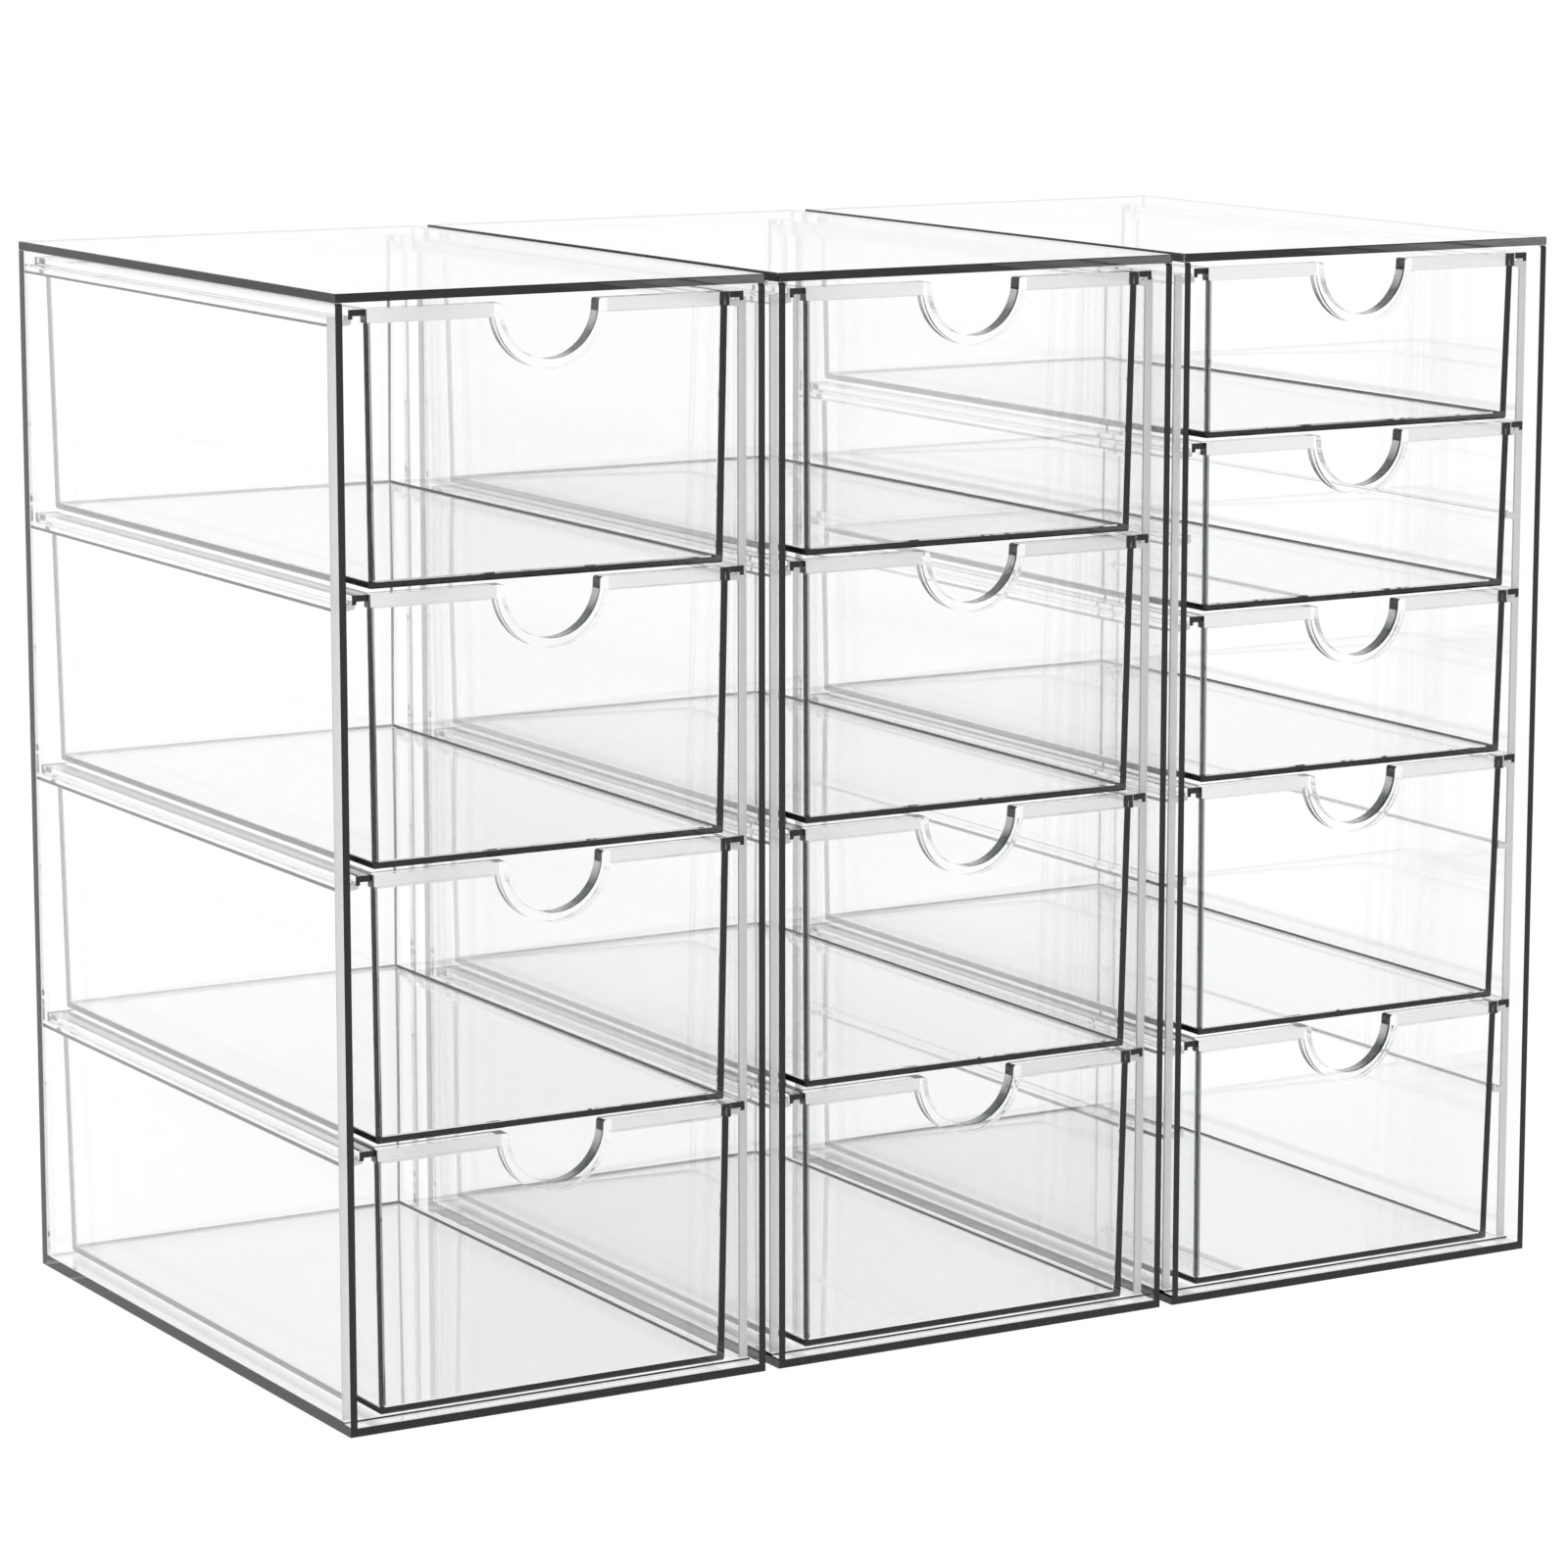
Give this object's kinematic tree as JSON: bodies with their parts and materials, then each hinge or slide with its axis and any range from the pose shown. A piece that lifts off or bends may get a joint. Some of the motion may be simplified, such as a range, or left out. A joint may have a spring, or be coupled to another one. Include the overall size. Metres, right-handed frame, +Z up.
{
  "type": "drawer organizer",
  "caption": "Clear plastic drawer organizer: upright cases side by side, with drafted open trays that hang on hooked runners and pull out by half-round thumb notches.",
  "frame": {"origin": "middle of the base, on the surface that the cases stand on", "axes": "+X to the right along the row of cases, -Y to the front that the drawers open to, +Z up"},
  "size_m": [0.4602, 0.246, 0.3576],
  "materials": {
    "case_plastic": "clear polished",
    "drawer_plastic": "clear polished"
  },
  "bodies": {
    "cases": {"left_case": "case_plastic", "left_top_panel": "case_plastic", "left_runner_left": "case_plastic", "left_runner_right": "case_plastic", "middle_case": "case_plastic", "middle_top_panel": "case_plastic", "middle_runner_left": "case_plastic", "middle_runner_right": "case_plastic", "right_case": "case_plastic", "right_top_panel": "case_plastic", "right_runner_left": "case_plastic", "right_runner_right": "case_plastic"},
    "left_drawer_1": {"left_drawer_1": "drawer_plastic"},
    "left_drawer_2": {"left_drawer_2": "drawer_plastic"},
    "left_drawer_3": {"left_drawer_3": "drawer_plastic"},
    "left_drawer_4": {"left_drawer_4": "drawer_plastic"},
    "middle_drawer_1": {"middle_drawer_1": "drawer_plastic"},
    "middle_drawer_2": {"middle_drawer_2": "drawer_plastic"},
    "middle_drawer_3": {"middle_drawer_3": "drawer_plastic"},
    "middle_drawer_4": {"middle_drawer_4": "drawer_plastic"},
    "right_drawer_1": {"right_drawer_1": "drawer_plastic"},
    "right_drawer_2": {"right_drawer_2": "drawer_plastic"},
    "right_drawer_3": {"right_drawer_3": "drawer_plastic"},
    "right_drawer_4": {"right_drawer_4": "drawer_plastic"},
    "right_drawer_5": {"right_drawer_5": "drawer_plastic"}
  },
  "joints": [
    {"name": "left_drawer_1_slide", "type": "slide", "parent": "cases", "child": "left_drawer_1", "axis": [0, -1, 0], "range_m": [0, 0.16]},
    {"name": "left_drawer_2_slide", "type": "slide", "parent": "cases", "child": "left_drawer_2", "axis": [0, -1, 0], "range_m": [0, 0.16]},
    {"name": "left_drawer_3_slide", "type": "slide", "parent": "cases", "child": "left_drawer_3", "axis": [0, -1, 0], "range_m": [0, 0.16]},
    {"name": "left_drawer_4_slide", "type": "slide", "parent": "cases", "child": "left_drawer_4", "axis": [0, -1, 0], "range_m": [0, 0.16]},
    {"name": "middle_drawer_1_slide", "type": "slide", "parent": "cases", "child": "middle_drawer_1", "axis": [0, -1, 0], "range_m": [0, 0.16]},
    {"name": "middle_drawer_2_slide", "type": "slide", "parent": "cases", "child": "middle_drawer_2", "axis": [0, -1, 0], "range_m": [0, 0.16]},
    {"name": "middle_drawer_3_slide", "type": "slide", "parent": "cases", "child": "middle_drawer_3", "axis": [0, -1, 0], "range_m": [0, 0.16]},
    {"name": "middle_drawer_4_slide", "type": "slide", "parent": "cases", "child": "middle_drawer_4", "axis": [0, -1, 0], "range_m": [0, 0.16]},
    {"name": "right_drawer_1_slide", "type": "slide", "parent": "cases", "child": "right_drawer_1", "axis": [0, -1, 0], "range_m": [0, 0.16]},
    {"name": "right_drawer_2_slide", "type": "slide", "parent": "cases", "child": "right_drawer_2", "axis": [0, -1, 0], "range_m": [0, 0.16]},
    {"name": "right_drawer_3_slide", "type": "slide", "parent": "cases", "child": "right_drawer_3", "axis": [0, -1, 0], "range_m": [0, 0.16]},
    {"name": "right_drawer_4_slide", "type": "slide", "parent": "cases", "child": "right_drawer_4", "axis": [0, -1, 0], "range_m": [0, 0.16]},
    {"name": "right_drawer_5_slide", "type": "slide", "parent": "cases", "child": "right_drawer_5", "axis": [0, -1, 0], "range_m": [0, 0.16]}
  ]
}
